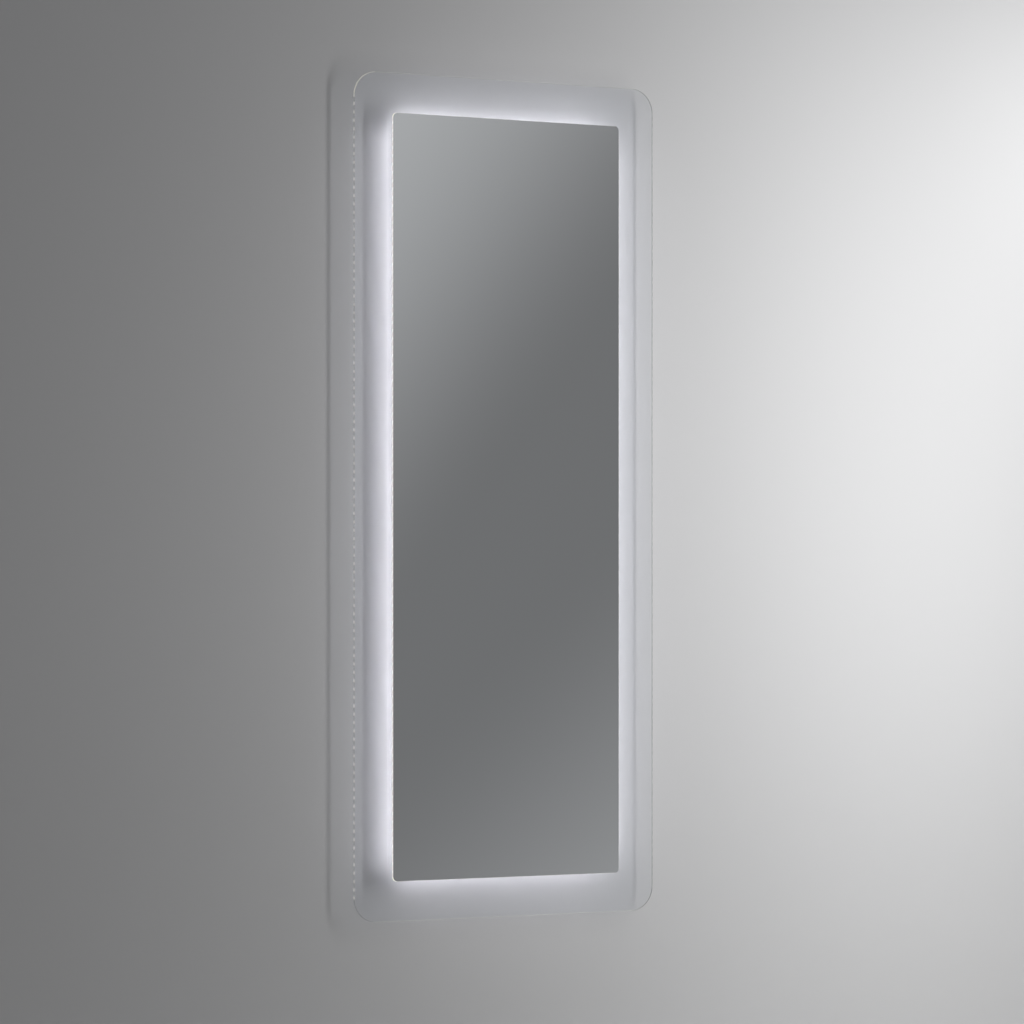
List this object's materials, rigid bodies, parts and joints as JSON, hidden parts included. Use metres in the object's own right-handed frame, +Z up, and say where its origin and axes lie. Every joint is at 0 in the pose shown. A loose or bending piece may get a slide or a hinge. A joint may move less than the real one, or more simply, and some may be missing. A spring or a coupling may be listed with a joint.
{
  "type": "lighted wall mirror",
  "caption": "Tall lighted wall mirror: a mirror plate bonded to a clear round-cornered glass panel that stands off the wall on an aluminium frame with LED strips behind it.",
  "frame": {"origin": "middle of the four wall-screw holes, on the wall's surface", "axes": "+Z up along the mirror's long side, +Y into the wall, +X to the right of someone who faces the mirror"},
  "size_m": [0.7, 0.042, 1.7],
  "materials": {
    "clear_glass": "clear, polished edges",
    "mirror_glass": "silvered, grey backing paint",
    "bonding_tape": "acrylic foam",
    "rail_aluminium": "satin anodised",
    "profile_aluminium": "anodised extrusion",
    "zinc_steel": "zinc plated",
    "screw_steel": "zinc plated",
    "strip_board": "white board under clear coating",
    "led_chip": "lit, cool white",
    "black_plastic": "moulded",
    "grey_plastic": "moulded",
    "bumper_rubber": "soft",
    "driver_shell": "moulded white",
    "circuit_board": "lacquered",
    "board_components": "mixed",
    "terminal_plastic": "moulded",
    "white_lead": "sheathed",
    "black_lead": "sheathed"
  },
  "bodies": {
    "wall_fixings": {"wall_hook_left": "zinc_steel", "wall_hook_right": "zinc_steel"},
    "hung_mirror": {"angle_plate_screws": "screw_steel", "angle_rail_screws": "screw_steel", "box_lead_bush": "bumper_rubber", "bracket_screws": "screw_steel", "cable_gland": "black_plastic", "clear_panel": "clear_glass", "corner_brackets": "zinc_steel", "cross_rail_lower": "rail_aluminium", "cross_rail_tapes": "bonding_tape", "cross_rail_upper": "rail_aluminium", "driver_board": "circuit_board", "driver_case": "driver_shell", "driver_components": "board_components", "driver_cover": "driver_shell", "driver_screws": "screw_steel", "end_rail_tapes": "bonding_tape", "equipment_plate": "zinc_steel", "frame_rail_bottom": "rail_aluminium", "frame_rail_left": "rail_aluminium", "frame_rail_right": "rail_aluminium", "frame_rail_top": "rail_aluminium", "gland_nut": "black_plastic", "hanger_left": "zinc_steel", "hanger_right": "zinc_steel", "hanger_screws": "screw_steel", "junction_box": "grey_plastic", "junction_box_lid": "grey_plastic", "junction_box_screws": "screw_steel", "junction_lid_screws": "screw_steel", "led_chips_bottom": "led_chip", "led_chips_left": "led_chip", "led_chips_right": "led_chip", "led_chips_top": "led_chip", "led_lead": "white_lead", "led_lead_bush": "bumper_rubber", "led_profile_bottom": "profile_aluminium", "led_profile_left": "profile_aluminium", "led_profile_right": "profile_aluminium", "led_profile_top": "profile_aluminium", "led_strip_bottom": "strip_board", "led_strip_left": "strip_board", "led_strip_right": "strip_board", "led_strip_top": "strip_board", "mains_lead": "black_lead", "mains_lead_bush": "bumper_rubber", "mirror_plate": "mirror_glass", "mirror_tapes": "bonding_tape", "plate_angles_left": "zinc_steel", "plate_angles_right": "zinc_steel", "plate_tapes": "bonding_tape", "rail_end_caps": "black_plastic", "rail_grommet": "bumper_rubber", "side_rail_tapes": "bonding_tape", "strip_links": "white_lead", "terminal_block": "terminal_plastic", "wall_bumpers": "bumper_rubber"}
  },
  "joints": [
    {"name": "lift_off", "type": "slide", "parent": "wall_fixings", "child": "hung_mirror", "axis": [0, 0, 1], "range_m": [0, 0.014]}
  ]
}
